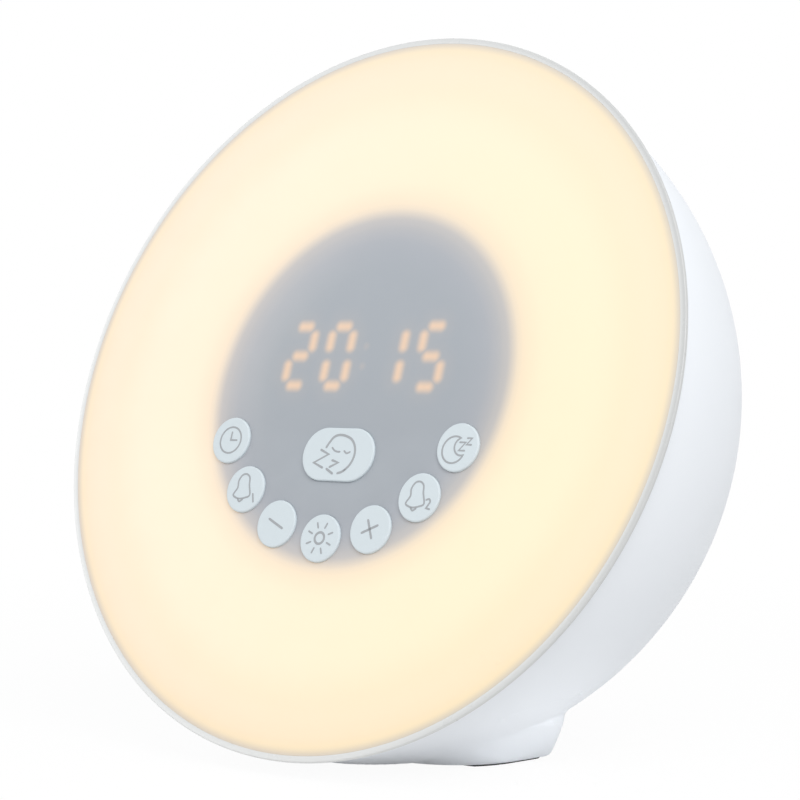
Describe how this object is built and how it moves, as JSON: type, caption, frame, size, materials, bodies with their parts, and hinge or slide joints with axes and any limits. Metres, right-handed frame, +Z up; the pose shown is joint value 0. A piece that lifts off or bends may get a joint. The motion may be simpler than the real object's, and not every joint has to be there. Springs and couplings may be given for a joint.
{
  "type": "sunrise alarm clock",
  "caption": "Round sunrise alarm clock: a glowing face with a digital time display and push buttons leans back on a domed shell with a flared foot.",
  "frame": {"origin": "middle of the box's bottom, on the surface that the clock stands on", "axes": "+X to the viewer's right, -Y towards the viewer, +Z up"},
  "size_m": [0.175, 0.1208, 0.1692],
  "materials": {
    "diffuser": "satin milky diffuser, lit from behind",
    "bezel": "satin moulded",
    "shell": "satin moulded",
    "rubber": "matt",
    "core_grey": "matt moulded",
    "circuit_board": "solder resist",
    "black_plastic": "matt moulded",
    "display_grey": "matt face",
    "segment_lit": "lit lens",
    "segment_dark": "unlit lens",
    "reflector_white": "white reflector",
    "light_board_white": "white solder resist",
    "lamp": "phosphor",
    "speaker_steel": "pressed steel",
    "magnet": "ferrite",
    "cone": "paper cone",
    "foam": "foam",
    "clamp_steel": "zinc plated",
    "contact_metal": "plated",
    "screw_steel": "zinc plated",
    "cell_steel": "polished can",
    "wire_red": "insulation",
    "wire_yellow": "insulation",
    "wire_black": "insulation",
    "wire_blue": "insulation",
    "button": "satin moulded"
  },
  "bodies": {
    "clock": {"front_cover": "diffuser", "bezel_ring": "bezel", "rear_shell": "shell", "foot_pad": "rubber", "core_cup": "core_grey", "main_board": "circuit_board", "board_parts": "black_plastic", "switch_bodies": "black_plastic", "display_module": "display_grey", "segments_lit": "segment_lit", "segments_dark": "segment_dark", "reflector_tray": "reflector_white", "light_board": "light_board_white", "lamps": "lamp", "speaker_frame": "speaker_steel", "speaker_magnet": "magnet", "speaker_cone": "cone", "speaker_gasket": "foam", "speaker_clamp": "clamp_steel", "power_socket": "black_plastic", "socket_pin": "contact_metal", "socket_board": "circuit_board", "tray_screws": "screw_steel", "cup_screws": "screw_steel", "board_screws": "screw_steel", "light_screws": "screw_steel", "clamp_screws": "screw_steel", "socket_screws": "screw_steel", "coin_cell": "cell_steel", "cell_contact": "contact_metal", "speaker_wires": "wire_red", "light_wires": "wire_yellow", "power_wires": "wire_black", "cell_wires": "wire_blue"},
    "clock_key": {"button_clock": "button", "plunger_clock": "black_plastic"},
    "alarm_1_key": {"button_alarm_1": "button", "plunger_alarm_1": "black_plastic"},
    "minus_key": {"button_minus": "button", "plunger_minus": "black_plastic"},
    "light_key": {"button_light": "button", "plunger_light": "black_plastic"},
    "plus_key": {"button_plus": "button", "plunger_plus": "black_plastic"},
    "alarm_2_key": {"button_alarm_2": "button", "plunger_alarm_2": "black_plastic"},
    "sleep_key": {"button_sleep": "button", "plunger_sleep": "black_plastic"},
    "snooze_key": {"button_snooze": "button", "plunger_snooze": "black_plastic"},
    "cap": {"battery_cap": "shell"}
  },
  "joints": [
    {"name": "clock_press", "type": "slide", "parent": "clock", "child": "clock_key", "axis": [0, 0.9461, -0.3239], "range_m": [0, 0.0006], "stiffness_N_per_m": 500, "springref_m": -0.0005},
    {"name": "alarm_1_press", "type": "slide", "parent": "clock", "child": "alarm_1_key", "axis": [0, 0.9461, -0.3239], "range_m": [0, 0.0006], "stiffness_N_per_m": 500, "springref_m": -0.0005},
    {"name": "minus_press", "type": "slide", "parent": "clock", "child": "minus_key", "axis": [0, 0.9461, -0.3239], "range_m": [0, 0.0006], "stiffness_N_per_m": 500, "springref_m": -0.0005},
    {"name": "light_press", "type": "slide", "parent": "clock", "child": "light_key", "axis": [0, 0.9461, -0.3239], "range_m": [0, 0.0006], "stiffness_N_per_m": 500, "springref_m": -0.0005},
    {"name": "plus_press", "type": "slide", "parent": "clock", "child": "plus_key", "axis": [0, 0.9461, -0.3239], "range_m": [0, 0.0006], "stiffness_N_per_m": 500, "springref_m": -0.0005},
    {"name": "alarm_2_press", "type": "slide", "parent": "clock", "child": "alarm_2_key", "axis": [0, 0.9461, -0.3239], "range_m": [0, 0.0006], "stiffness_N_per_m": 500, "springref_m": -0.0005},
    {"name": "sleep_press", "type": "slide", "parent": "clock", "child": "sleep_key", "axis": [0, 0.9461, -0.3239], "range_m": [0, 0.0006], "stiffness_N_per_m": 500, "springref_m": -0.0005},
    {"name": "snooze_press", "type": "slide", "parent": "clock", "child": "snooze_key", "axis": [0, 0.9461, -0.3239], "range_m": [0, 0.0006], "stiffness_N_per_m": 500, "springref_m": -0.0005},
    {"name": "cap_turn", "type": "hinge", "parent": "clock", "child": "cap", "pos_m": [0, -0.00717, 0.0006], "axis": [0, 0, 1], "range_deg": [0, 60]}
  ]
}
